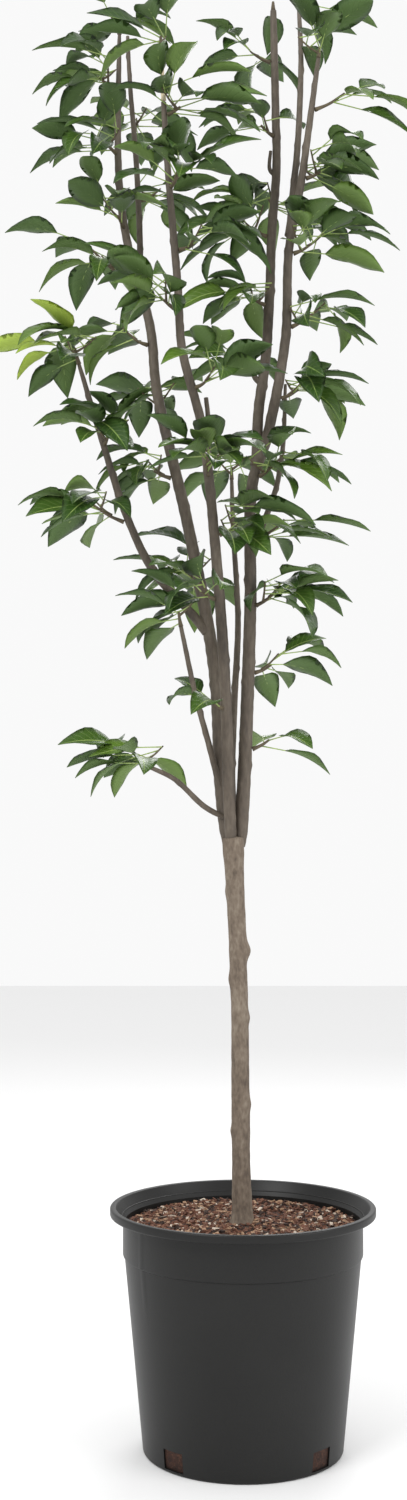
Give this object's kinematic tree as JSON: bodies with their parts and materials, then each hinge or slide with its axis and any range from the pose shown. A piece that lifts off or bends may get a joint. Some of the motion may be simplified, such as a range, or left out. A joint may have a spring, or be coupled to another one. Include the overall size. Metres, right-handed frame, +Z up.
{
  "type": "potted pear tree",
  "caption": "Young fruit tree with a bare trunk, upright masts and leafy spurs, standing in a round nursery pot of bark-based mix.",
  "frame": {"origin": "centre of the flat underside of the pot, which stands on the ground", "axes": "+Z up along the trunk, +X to the right and +Y to the back of the pictured side"},
  "size_m": [0.5984, 0.4712, 1.9828],
  "materials": {
    "pot": "satin",
    "potting_mix": "matte",
    "bark": "matte",
    "leaves": "satin"
  },
  "bodies": {
    "root": {"east_mast": "bark", "east_rod": "bark", "far_west_bough": "bark", "front_mast": "bark", "leaves_east_mast_1": "leaves", "leaves_east_mast_10": "leaves", "leaves_east_mast_11": "leaves", "leaves_east_mast_2": "leaves", "leaves_east_mast_3": "leaves", "leaves_east_mast_4": "leaves", "leaves_east_mast_5": "leaves", "leaves_east_mast_6": "leaves", "leaves_east_mast_7": "leaves", "leaves_east_mast_8": "leaves", "leaves_east_mast_9": "leaves", "leaves_east_rod_1": "leaves", "leaves_far_west_bough_1": "leaves", "leaves_far_west_bough_2": "leaves", "leaves_far_west_bough_3": "leaves", "leaves_front_mast_1": "leaves", "leaves_front_mast_10": "leaves", "leaves_front_mast_2": "leaves", "leaves_front_mast_3": "leaves", "leaves_front_mast_4": "leaves", "leaves_front_mast_5": "leaves", "leaves_front_mast_6": "leaves", "leaves_front_mast_7": "leaves", "leaves_front_mast_8": "leaves", "leaves_front_mast_9": "leaves", "leaves_low_west_bough_1": "leaves", "leaves_low_west_rod_1": "leaves", "leaves_middle_mast_1": "leaves", "leaves_middle_mast_2": "leaves", "leaves_middle_mast_3": "leaves", "leaves_middle_mast_4": "leaves", "leaves_middle_mast_5": "leaves", "leaves_middle_mast_6": "leaves", "leaves_middle_mast_7": "leaves", "leaves_rear_bough_1": "leaves", "leaves_west_mast_1": "leaves", "leaves_west_mast_2": "leaves", "leaves_west_mast_3": "leaves", "leaves_west_mast_4": "leaves", "leaves_west_mast_5": "leaves", "leaves_west_mast_6": "leaves", "leaves_west_mast_7": "leaves", "leaves_west_mast_8": "leaves", "leaves_west_mast_9": "leaves", "leaves_west_rod_1": "leaves", "leaves_west_rod_2": "leaves", "low_west_bough": "bark", "low_west_rod": "bark", "middle_mast": "bark", "pot": "pot", "potting_mix": "potting_mix", "rear_bough": "bark", "rear_east_rod": "bark", "trunk": "bark", "west_mast": "bark", "west_rod": "bark"}
  },
  "joints": []
}
